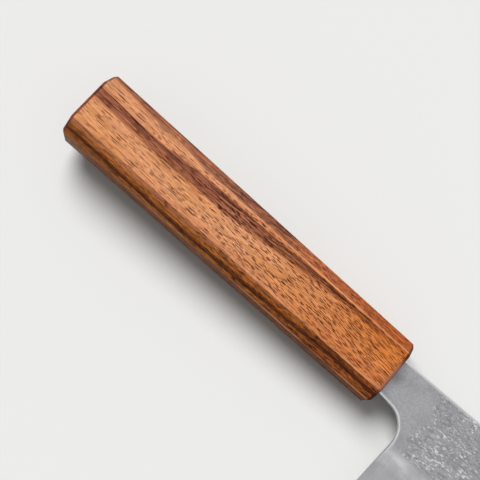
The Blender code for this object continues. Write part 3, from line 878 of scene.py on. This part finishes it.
class FinishBench:
    """One material under construction: makes nodes, sets or joins their sockets, and hands outputs back."""

    def __init__(self, name):
        self.material = bpy.data.materials.new(name)
        self.material.use_nodes = True
        self.nodes = self.material.node_tree.nodes
        self.links = self.material.node_tree.links
        self.shader = self.nodes["Principled BSDF"]

    def put(self, socket, value):
        """Join a socket to an output, or set its own value."""
        if isinstance(value, bpy.types.NodeSocket):
            self.links.new(value, socket)
        elif socket.type == "RGBA" and len(value) == 3:
            socket.default_value = (*value, 1.0)
        else:
            socket.default_value = value

    def node(self, kind, settings, inputs):
        """A node of a kind, with its settings and with values for its sockets by name or number."""
        made = self.nodes.new("ShaderNode" + kind)
        for label, value in settings.items():
            setattr(made, label, value)
        for label, value in inputs.items():
            self.put(made.inputs[label], value)
        return made

    def attribute(self, name):
        """A float attribute of the mesh."""
        return self.node("Attribute", {"attribute_name": name}, {}).outputs["Fac"]

    def knife_millimetres(self, matrix):
        """Object coordinates turned into the knife's frame and counted in millimetres."""
        back = matrix.inverted()
        place = self.node("TexCoord", {}, {}).outputs["Object"]
        inputs = {
            "Vector": place,
            "Location": back.translation / MM,
            "Rotation": back.to_euler(),
            "Scale": (1 / MM, 1 / MM, 1 / MM),
        }
        return self.node("Mapping", {"vector_type": "POINT"}, inputs).outputs[0]

    def parts(self, vector):
        """X, Y and Z of a vector."""
        return self.node("SeparateXYZ", {}, {0: vector}).outputs[:3]

    def joined(self, x, y, z):
        """A vector from its three parts."""
        return self.node("CombineXYZ", {}, {0: x, 1: y, 2: z}).outputs[0]

    def math(self, operation, first, second=0.0, third=0.0):
        """One Math node."""
        inputs = {0: first, 1: second, 2: third}
        return self.node("Math", {"operation": operation}, inputs).outputs[0]

    def plus(self, first, second):
        """The sum of two values."""
        return self.math("ADD", first, second)

    def minus(self, first, second):
        """The first value less the second."""
        return self.math("SUBTRACT", first, second)

    def times(self, product, *factors):
        """The product of two or more values."""
        for factor in factors:
            product = self.math("MULTIPLY", product, factor)
        return product

    def line(self, value, factor, start):
        """A value times a factor, plus a start."""
        return self.math("MULTIPLY_ADD", value, factor, start)

    def larger(self, first, second):
        """The larger of two values."""
        return self.math("MAXIMUM", first, second)

    def stretched(self, vector, lengths):
        """A vector divided by a length along each axis, so that patterns come out that long."""
        factors = tuple(1 / length for length in lengths)
        return self.node("VectorMath", {"operation": "MULTIPLY"}, {0: vector, 1: factors}).outputs[0]

    def noise(self, vector, lengths, detail=2.0, roughness=0.5, distortion=0.0):
        """Smooth noise around one half, whose features are as long as given along each axis."""
        inputs = {
            "Vector": self.stretched(vector, lengths),
            "Scale": 1.0,
            "Detail": detail,
            "Roughness": roughness,
            "Distortion": distortion,
        }
        return self.node("TexNoise", {}, inputs).outputs[0]

    def cells(self, vector, lengths, randomness=1.0):
        """Distance to the nearest of points scattered as far apart as given, and a random value for each."""
        inputs = {"Vector": self.stretched(vector, lengths), "Scale": 1.0, "Randomness": randomness}
        made = self.node("TexVoronoi", {"feature": "F1"}, inputs)
        return made.outputs["Distance"], self.parts(made.outputs["Color"])[0]

    def spots(self, vector, lengths, near, far, crowd, randomness=1.0, width=1.0):
        """One within near of scattered points and zero beyond far, on a share crowd of the points."""
        distance, chance = self.cells(vector, lengths, randomness)
        spot = self.between(self.times(distance, width), near, far, 1.0, 0.0)
        return self.times(spot, self.math("LESS_THAN", chance, crowd))

    def between(self, value, low, high, first=0.0, last=1.0):
        """A value mapped from one range to another with soft ends."""
        settings = {"interpolation_type": "SMOOTHSTEP", "clamp": True}
        inputs = {0: value, 1: low, 2: high, 3: first, 4: last}
        return self.node("MapRange", settings, inputs).outputs[0]

    def straight(self, value, low, high):
        """A value mapped evenly from a range to zero and one."""
        return self.node("MapRange", {}, {0: value, 1: low, 2: high}).outputs[0]

    def mix(self, factor, first, second, blend="MIX"):
        """Two colours mixed by a factor."""
        settings = {"data_type": "RGBA", "blend_type": blend}
        return self.node("Mix", settings, {0: factor, 6: first, 7: second}).outputs[2]

    def tinted(self, tone, tint):
        """A colour multiplied with another one, or with a grey value."""
        return self.mix(1.0, tone, tint, "MULTIPLY")

    def ramp(self, factor, stops):
        """A colour ramp through (place, colour) stops."""
        made = self.node("ValToRGB", {}, {0: factor})
        elements = made.color_ramp.elements
        while len(elements) < len(stops):
            elements.new(0.5)
        for element, (place, tone) in zip(elements, stops):
            element.position = place
            element.color = (*tone, 1.0)
        return made.outputs[0]

    def finished(self, tone, roughness, relief, strength=0.8):
        """The material, with a colour, a roughness and a bump that follows the relief."""
        inputs = {"Height": relief, "Distance": RELIEF, "Strength": strength}
        bump = self.node("Bump", {}, inputs).outputs[0]
        for label, value in (("Base Color", tone), ("Roughness", roughness), ("Normal", bump)):
            self.put(self.shader.inputs[label], value)
        return self.material


def ring_stops(stops):
    """Ramp stops from year ring distances in millimetres and colours or shades of grey."""
    span = RING_HIGH - RING_LOW
    tones = [(distance, (tone,) * 3 if isinstance(tone, float) else tone) for distance, tone in stops]
    return [((distance - RING_LOW) / span, tone) for distance, tone in tones]


def year_rings(bench, colours, place, slow, rise):
    """Distance from the tree's centre in millimetres, less a drift along the handle, and bent by noise.

    The drift is that of the lower flats at the bottom and that of the upper ones at the top, and linear
    between. The noises are drawn out along the grain.
    """
    x, y, z = bench.parts(place)
    low_drift = bench.between(x, *LOW_DRIFT)
    high_drift = bench.plus(rise, bench.between(x, *BUTT_DRIFT))
    height = bench.straight(y, -10.0, 6.0)
    drift = bench.line(bench.minus(high_drift, low_drift), height, low_drift)
    away_y = bench.minus(y, colours.pith_y / MM)
    away_z = bench.minus(z, colours.pith_z / MM)
    squares = bench.plus(bench.math("POWER", away_y, 2.0), bench.math("POWER", away_z, 2.0))
    ring = bench.minus(bench.math("SQRT", squares), drift)
    quick = bench.noise(place, (18.0, 2.0, 2.0))
    frayed = bench.noise(place, (7.0, 0.36, 0.36), 2.0, 0.6)
    for wave, reach in ((slow, 2.0), (quick, 1.0), (frayed, 0.6)):
        ring = bench.line(bench.minus(wave, 0.5), reach, ring)
    return ring


def stripes(bench, colours, place, ring, rise, slow):
    """The wood's colour by year ring: the ground, the broad stripes, the lower stripe and the thin lines.

    What lies above the main stripe goes by the level, which is the ring without the upper flats' drift and
    less two steps along the handle. A veil of noise lets the ground show through the stripes, and the thin
    lines are threads of noise along the rings.
    """
    x, _, z = bench.parts(place)
    across = bench.straight(ring, RING_LOW, RING_HIGH)
    # The lowest flat's brown is partly painted shade
    ground = [(distance, getattr(colours, label)) for distance, label in GROUND_COLOURS]
    tone = bench.ramp(across, ring_stops(ground))
    honey = bench.between(bench.noise(place, (26.0, 3.4, 3.4)), 0.42, 0.66, 0.0, 0.4)
    tone = bench.mix(honey, tone, colours.golden)

    level = bench.plus(ring, rise)
    level = bench.minus(level, bench.between(x, *STRIPE_TOP_DROP))
    level = bench.minus(level, bench.between(x, *STRIPE_TOP_STEP))
    above = bench.between(level, *MAIN_STRIPE_TOP)
    fade = bench.between(bench.line(slow, 14.0, x), *MAIN_STRIPE_END)
    main = bench.times(bench.ramp(across, ring_stops(MAIN_STRIPE)), bench.minus(1.0, above), fade)
    wander = bench.line(slow, 30.0, x)
    sunk = bench.plus(level, bench.between(x, *TOP_STRIPE_SINK))
    top = bench.times(bench.between(sunk, *TOP_STRIPE), bench.between(sunk, *TOP_STRIPE_FADE))
    striped = bench.larger(main, bench.times(top, bench.between(wander, *TOP_STRIPE_END)))
    lower = bench.ramp(across, ring_stops(LOWER_STRIPE))

    lane = bench.times(above, bench.between(level, *LANE_TOP), bench.between(wander, *LANE_END))
    tone = bench.mix(lane, tone, colours.pale)
    reddened = bench.times(bench.between(level, *RUSSET_FROM), bench.between(wander, *RUSSET_START))
    tone = bench.mix(reddened, tone, colours.russet)
    along_ring = bench.joined(x, ring, z)
    veil = bench.noise(along_ring, (15.0, 0.42, 2.4), 3.0, 0.65)
    deep = bench.tinted(colours.purple, bench.between(x, *STRIPE_DEPTH))
    tone = bench.mix(bench.times(striped, bench.between(veil, 0.36, 0.56, 0.55, 1.0)), tone, deep)
    dark = bench.times(lower, bench.between(veil, 0.3, 0.5, 0.6, 1.0))
    tone = bench.mix(dark, tone, colours.dark_brown)

    broad_thread = bench.between(bench.noise(along_ring, (20.0, 0.55, 5.0), 1.0), 0.54, 0.62)
    fine_thread = bench.between(bench.noise(along_ring, (10.0, 0.27, 2.0), 1.0, 0.6), 0.52, 0.64)
    weight = bench.times(striped, bench.between(x, *LINES_IN_STRIPES))
    weight = bench.larger(weight, bench.between(ring, *BELOW_RIDGE, 0.5, 0.2))
    weight = bench.larger(weight, bench.between(level, *LINES_ABOVE))
    lines = bench.times(bench.larger(broad_thread, fine_thread), weight)
    tone = bench.mix(lines, tone, colours.stripe_line)
    forward = bench.times(bench.between(x, *FRONT_TINT_SPAN), bench.between(ring, *FRONT_TINT_RINGS))
    return bench.mix(forward, tone, bench.tinted(tone, colours.front_tint))


def grain(bench, colours, place, ring, tone):
    """Fibres and open pores over a colour: the new colour, and the clouds, the fibres and the pores.

    They follow the fibres, which climb with the square of the way along the handle. Short and long pores
    are scattered cells drawn out along them, more of them towards the front and below the lower ridge.
    """
    x, y, z = bench.parts(place)
    climb = bench.times(bench.math("POWER", bench.minus(x, GRAIN_START), 2.0), GRAIN_CLIMB)
    fibres = bench.joined(x, bench.plus(y, climb), z)
    long_fibre = bench.noise(fibres, (11.0, 0.29, 0.29), 0.0)
    short_fibre = bench.noise(fibres, (1.9, 0.22, 0.22), 1.0, 0.6)
    fibre = bench.line(long_fibre, 0.4, bench.times(short_fibre, 0.6))
    cloud = bench.noise(place, (16.0, 1.6, 1.6))
    contrast = bench.between(ring, *BELOW_RIDGE, 2.3, 1.0)
    fibre_shade = bench.times(bench.between(fibre, 0.3, 0.68, -0.26, 0.21), contrast)
    cloud_shade = bench.between(cloud, 0.3, 0.7, 0.96, 1.08)
    tone = bench.tinted(tone, bench.line(cloud_shade, fibre_shade, cloud_shade))

    crowd = bench.plus(bench.noise(fibres, (16.0, 2.6, 2.6), 1.0), bench.line(x, 0.0045, 0.46))
    crowd = bench.plus(crowd, bench.between(ring, *BELOW_RIDGE, 0.5, 0.0))
    crowd = bench.between(crowd, 0.3, 0.8, 0.2, 1.0)
    width = bench.between(x, *PORE_WIDTH)
    short_pore = bench.spots(fibres, (3.1, 0.35, 0.35), 0.3, 0.36, crowd, 0.9, width)
    for span in (PORES_AT_BUTT, PORES_AT_FRONT):
        short_pore = bench.times(short_pore, bench.between(x, *span))
    distance, chance = bench.cells(fibres, (8.0, 0.36, 0.36), 0.9)
    rare = bench.line(crowd, 0.4, bench.between(x, *LONG_PORES_RARE))
    long_pore = bench.between(bench.times(distance, width), 0.27, 0.34, 1.0, 0.0)
    long_pore = bench.times(long_pore, bench.math("GREATER_THAN", chance, rare))
    streak = bench.between(long_fibre, 0.56, 0.7, 0.0, 0.45)
    pore = bench.larger(bench.larger(short_pore, long_pore), streak)
    dark_pore = bench.mix(0.95, tone, bench.tinted(tone, colours.pore))
    return bench.mix(pore, tone, dark_pore), cloud, fibre, pore


def striped_wood(colours, matrix):
    """Oiled striped wood, solid all through: year rings with their stripes, and the grain over them.

    A painted highlight in the pale colour lightens the ridges, end grain is darker, and the middle of the
    front end's chamfer has a paler painted sheen.
    """
    bench = FinishBench("striped_wood")
    place = bench.knife_millimetres(matrix)
    x, y, _ = bench.parts(place)
    slow = bench.noise(place, (60.0, 8.0, 8.0), 1.0)
    rise = bench.between(x, *HIGH_DRIFT)
    ring = year_rings(bench, colours, place, slow, rise)
    tone = stripes(bench, colours, place, ring, rise, slow)
    tone, cloud, fibre, pore = grain(bench, colours, place, ring, tone)
    # Painted highlight along the eased ridges, in the pale colour, broken up by noise and stronger towards
    # the front
    painted_ridge_highlight = bench.times(bench.attribute("ridge_highlight"), bench.between(cloud, 0.35, 0.6, 0.3, 0.8))
    painted_ridge_highlight = bench.times(painted_ridge_highlight, bench.between(x, *RIDGE_HIGHLIGHT_SPAN))
    tone = bench.mix(painted_ridge_highlight, tone, colours.pale)
    # Painted sheen: the middle of the front end's chamfer turns paler
    spans = [bench.between(x, *span) for span in FRONT_EDGE_SPANS]
    sides = [bench.between(y, *side) for side in FRONT_EDGE_SIDES]
    sheened = bench.times(*spans, *sides)
    end_tone = bench.mix(sheened, bench.tinted(tone, colours.end_tint), colours.front_edge_sheen)
    tone = bench.mix(bench.attribute("end_grain"), tone, end_tone)
    bench.shader.inputs["Specular IOR Level"].default_value = colours.gloss
    rough = bench.line(pore, 0.2, bench.between(fibre, 0.3, 0.7, 0.42, 0.54))
    relief = bench.line(pore, -1.0, bench.times(fibre, 0.5))
    return bench.finished(tone, rough, relief)


def pear_skin(bench, colours, place, tone):
    """The pear-skin finish over a colour: the new colour, the finish's mask, its craters, rims and pits.

    It is a field of shallow craters. Short pieces of one contour line of the craters' noise, and scattered
    flecks, stand up as bright rims, in clusters, between dark blotches and pits.
    """
    ragged = bench.minus(bench.noise(place, (2.4, 2.4, 2.4)), 0.5)
    mask = bench.between(bench.line(ragged, 1.6, bench.attribute("pear_skin")), 0.3, 0.75)
    craters = bench.noise(place, (2.9, 1.25, 1.9), 1.5, 0.5, 0.5)
    contour = bench.math("ABSOLUTE", bench.minus(craters, 0.56))
    broken = bench.between(bench.noise(place, (1.5, 0.9, 1.2), 1.0), 0.44, 0.58)
    arc = bench.times(bench.between(contour, 0.014, 0.055, 1.0, 0.0), broken)
    fleck = bench.spots(place, (1.7, 0.72, 1.0), 0.14, 0.4, 0.4)
    cluster = bench.between(bench.noise(place, (5.0, 3.0, 3.4)), 0.42, 0.57, 0.36, 1.0)
    rim = bench.times(bench.larger(arc, fleck), mask, cluster)
    pit = bench.times(bench.spots(place, (0.8, 0.42, 0.5), 0.15, 0.45, 0.35), mask)
    blotch = bench.between(bench.noise(place, (2.8, 0.9, 1.6)), 0.46, 0.68, 0.0, 0.36)
    tone = bench.mix(bench.times(blotch, mask), tone, colours.mouth)
    tone = bench.mix(bench.times(pit, 0.4), tone, colours.mouth)
    return bench.mix(bench.times(rim, 0.8), tone, colours.fleck), mask, craters, rim, pit


def forged_steel(name, colours, matrix, ground):
    """Steel with a satin neck darkened by painted shade next to the handle, a pear-skin zone, a ground bevel
    and polished rounds.

    The bevel has fine strokes across it and a painted highlight below its shoulder, which comes and goes with
    slow noise.
    """
    bench = FinishBench(name)
    place = bench.knife_millimetres(matrix)
    x = bench.parts(place)[0]
    haze = bench.noise(place, (9.0, 7.0, 7.0), 3.0)
    mottle = bench.noise(place, (0.5, 0.5, 0.5), 3.0, 0.6)
    shade = bench.between(haze, 0.3, 0.7, 0.92, 1.08)
    tone = bench.tinted(colours.cladding, bench.times(shade, bench.between(mottle, 0.3, 0.7, 0.87, 1.12)))
    # Painted shade: the steel darkens over the first few millimetres in front of the handle, with a ragged
    # border
    mouth = bench.line(bench.minus(haze, 0.5), 6.0, x)
    tone = bench.mix(bench.between(mouth, *MOUTH_SHADE), tone, colours.mouth)
    tone, pear, craters, rim, pit = pear_skin(bench, colours, place, tone)

    coarse = bench.noise(place, (0.6, 16.0, 16.0), 2.0, 0.6)
    fine = bench.noise(place, (0.14, 9.0, 9.0), 1.0)
    strokes = bench.line(fine, 0.6, bench.times(coarse, 0.4))
    # Painted highlight below the bevel's shoulder, where its curve catches the light, broken up by slow noise
    clouds = bench.between(bench.noise(place, (8.0, 4.5, 6.0)), 0.38, 0.6, 0.25, 1.0)
    painted_shoulder_highlight = bench.times(bench.attribute("shoulder"), clouds, bench.between(x, *SHOULDER_HIGHLIGHT_FADE))
    shade = bench.between(haze, 0.3, 0.7, 0.86, 1.12)
    shade = bench.times(shade, bench.between(strokes, 0.3, 0.7, 0.94, 1.05))
    on_bevel = bench.attribute("ground")
    tone = bench.mix(on_bevel, tone, bench.tinted(bench.mix(painted_shoulder_highlight, ground, colours.shoulder), shade))
    honed = bench.attribute("honed")
    polished = bench.attribute("polished")
    tone = bench.mix(polished, bench.mix(honed, tone, colours.honed), colours.polished)

    rough = bench.line(mottle, 0.1, colours.roughness)
    rough = bench.line(on_bevel, -0.08, bench.line(pear, 0.06, rough))
    settled = {0: bench.larger(polished, honed), 2: rough, 3: colours.polish_roughness}
    rough = bench.node("Mix", {"data_type": "FLOAT"}, settled).outputs[0]
    bench.shader.inputs["Metallic"].default_value = 1.0
    relief = bench.times(craters, pear, 3.2)
    across_bevel = bench.times(strokes, on_bevel)
    for part, height in ((rim, 0.8), (pit, -0.5), (mottle, 0.25), (across_bevel, 0.12)):
        relief = bench.line(part, height, relief)
    return bench.finished(tone, rough, relief)


def cured_resin(colours, matrix):
    """Dark resin with a faint cloudiness and tiny bubbles."""
    bench = FinishBench("cured_resin")
    place = bench.knife_millimetres(matrix)
    cloud = bench.between(bench.noise(place, (3.0, 3.0, 3.0), 3.0), 0.3, 0.7)
    tone = bench.mix(cloud, tuple(0.7 * part for part in colours.resin), colours.resin)
    distance, _ = bench.cells(place, (0.8, 0.8, 0.8))
    bubbles = bench.between(distance, 0.08, 0.2)
    return bench.finished(tone, bench.between(cloud, 0.0, 1.0, 0.35, 0.5), bubbles, 0.5)


def dress(piece, material, node):
    """Give a finished piece its material and its place in the frame."""
    piece.data.materials.append(material)
    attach(piece, "root")
    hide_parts(node)


class SANTOKU_OT_build_handle(Operator):
    """Build the octagonal handle with its striped wood"""

    bl_idname = "santoku.build_handle"
    bl_label = "Build Handle"

    def execute(self, context):
        scene = context.scene
        handle = build_handle(scene.santoku_handle, scene.santoku_blade)
        wood = striped_wood(scene.santoku_wood, knife_matrix(scene.santoku_handle))
        dress(handle, wood, "handle")
        return {"FINISHED"}


class SANTOKU_OT_build_blade(Operator):
    """Build the three layers of the blade with their finishes"""

    bl_idname = "santoku.build_blade"
    bl_label = "Build Blade Layers"

    def execute(self, context):
        scene = context.scene
        sizes, colours = scene.santoku_blade, scene.santoku_steel
        matrix = knife_matrix(scene.santoku_handle)
        soft = forged_steel("soft_cladding", colours, matrix, colours.bevel)
        hard = forged_steel("hard_core", colours, matrix, colours.core)
        dress(build_core("core_layer", sizes), hard, "core_steel")
        right = build_cladding("cladding_layer_right", sizes, 1.0)
        dress(right, soft, "cladding_right")
        left = build_cladding("cladding_layer_left", sizes, -1.0)
        dress(left, soft, "cladding_left")
        return {"FINISHED"}


class SANTOKU_OT_dress_bedding(Operator):
    """Give the resin round the tang its finish"""

    bl_idname = "santoku.dress_bedding"
    bl_label = "Dress Tang Bedding"

    def execute(self, context):
        scene = context.scene
        resin = cured_resin(scene.santoku_steel, knife_matrix(scene.santoku_handle))
        bedding = frame["nodes"]["tang_bedding"]
        for holder in bedding.material_slots:
            holder.material = resin
        if not bedding.material_slots:
            bedding.data.materials.append(resin)
        return {"FINISHED"}


class SANTOKU_OT_set_stage(Operator):
    """Set up the floor, the lights and the camera"""

    bl_idname = "santoku.set_stage"
    bl_label = "Set Stage"

    def execute(self, context):
        scene = context.scene
        stage = scene.santoku_stage
        matrix = knife_matrix(scene.santoku_handle)
        lay_floor(stage)
        hang_lights(stage, matrix)
        place_camera(stage, matrix, scene)
        scene.view_settings.view_transform = "Standard"
        return {"FINISHED"}


def seen_directly(tree):
    """One for rays that come from the camera, from a reflection or through glass, and zero for the rest."""
    path = tree.nodes.new("ShaderNodeLightPath")
    seen = path.outputs["Is Camera Ray"]
    for label in ("Is Glossy Ray", "Is Transmission Ray"):
        either = tree.nodes.new("ShaderNodeMath")
        either.operation = "MAXIMUM"
        tree.links.new(seen, either.inputs[0])
        tree.links.new(path.outputs[label], either.inputs[1])
        seen = either.outputs[0]
    return seen


def lay_floor(stage):
    """A plain pale floor at the height on which the knife lies, which throws back little light from below."""
    half = stage.floor_side / 2
    corners = np.array([[-half, -half, 0.0], [half, -half, 0.0], [half, half, 0.0], [-half, half, 0.0]])
    floor = mesh_object("floor", corners, np.array([[0, 1, 2, 3]]), NO_TRIANGLES, {})
    bench = FinishBench("pale_floor")
    direct = seen_directly(bench.material.node_tree)
    bench.put(bench.shader.inputs["Base Color"], bench.mix(direct, stage.floor_bounce, stage.floor))
    bench.shader.inputs["Roughness"].default_value = 0.9
    bench.shader.inputs["Specular IOR Level"].default_value = 0.0
    floor.data.materials.append(bench.material)


def hang_lights(stage, matrix):
    """A pale world, dimmer as a light than it looks, and a wide soft lamp over the spine's side of the butt.

    The lamp is two suns in one place: one for what surfaces scatter, and a wider, dimmer one for what they
    mirror.
    """
    world = bpy.data.worlds.new("studio")
    world.use_nodes = True
    tree = world.node_tree
    background = tree.nodes["Background"]
    background.inputs["Color"].default_value = (1.0, 1.0, 1.0, 1.0)
    strength = tree.nodes.new("ShaderNodeMapRange")
    tree.links.new(seen_directly(tree), strength.inputs["Value"])
    strength.inputs["To Min"].default_value = stage.sky_light
    strength.inputs["To Max"].default_value = stage.sky_look
    tree.links.new(strength.outputs["Result"], background.inputs["Strength"])
    bpy.context.scene.world = world
    key = hang_sun("key", stage.key_width, stage.key_power, stage, matrix)
    key.visible_glossy = False
    gleam = hang_sun("gleam", stage.gleam_width, stage.gleam_power, stage, matrix)
    gleam.visible_diffuse = False


def hang_sun(name, width, power, stage, matrix):
    """A sun lamp at the large lamp's place, aimed at the front of the handle."""
    lamp = bpy.data.lights.new(name, "SUN")
    lamp.angle = width
    lamp.energy = power
    sun = bpy.data.objects.new(name, lamp)
    bpy.context.scene.collection.objects.link(sun)
    sun.location = matrix @ Vector(stage.key_place)
    aim = matrix.translation - sun.location
    sun.rotation_euler = aim.to_track_quat("-Z", "Y").to_euler()
    return sun


def place_camera(stage, matrix, scene):
    """The photograph's camera, from its place and its axes in the knife's frame."""
    right = Vector(stage.right).normalized()
    back = right.cross(Vector(stage.up)).normalized()
    up = back.cross(right)
    turned = Matrix((right, up, back)).transposed().to_4x4()
    lens = bpy.data.cameras.new("photo_camera")
    lens.sensor_width = SENSOR
    lens.lens = stage.focal_pixels * SENSOR / PHOTO_PIXELS
    lens.clip_start = 0.01
    camera = bpy.data.objects.new("photo_camera", lens)
    scene.collection.objects.link(camera)
    camera.matrix_world = matrix @ Matrix.Translation(Vector(stage.eye)) @ turned
    scene.camera = camera


class SANTOKU_PT_panel(Panel):
    """Lists the knife's operators and sizes in the sidebar"""

    bl_idname = "SANTOKU_PT_panel"
    bl_label = "Santoku Knife"
    bl_space_type = "VIEW_3D"
    bl_region_type = "UI"
    bl_category = "Knife"

    def draw(self, context):
        for operator in BUILD_ORDER:
            self.layout.operator(operator)
        for label in GROUPS:
            box = self.layout.box()
            box.label(text=label.replace("_", " ").capitalize())
            settings = getattr(context.scene, label)
            for name in settings.bl_rna.properties.keys()[2:]:
                box.prop(settings, name)


GROUPS = {
    "santoku_handle": SantokuHandleSizes,
    "santoku_blade": SantokuBladeSizes,
    "santoku_wood": SantokuWood,
    "santoku_steel": SantokuSteel,
    "santoku_stage": SantokuStage,
}
OPERATORS = (
    SANTOKU_OT_build_handle,
    SANTOKU_OT_build_blade,
    SANTOKU_OT_dress_bedding,
    SANTOKU_OT_set_stage,
)
BUILD_ORDER = [operator.bl_idname for operator in OPERATORS]


def register():
    """Register the classes and hang the settings on the scene."""
    for item in (*GROUPS.values(), *OPERATORS, SANTOKU_PT_panel):
        bpy.utils.register_class(item)
    for label, group in GROUPS.items():
        setattr(bpy.types.Scene, label, PointerProperty(type=group))


def unregister():
    """Take the settings off the scene and unregister the classes."""
    for label in GROUPS:
        delattr(bpy.types.Scene, label)
    for item in (SANTOKU_PT_panel, *reversed(OPERATORS), *GROUPS.values()):
        bpy.utils.unregister_class(item)


def main():
    """Register, and build every piece and the stage."""
    register()
    for operator in BUILD_ORDER:
        group, name = operator.split(".")
        getattr(getattr(bpy.ops, group), name)()
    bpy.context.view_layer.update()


if __name__ == "__main__":
    main()
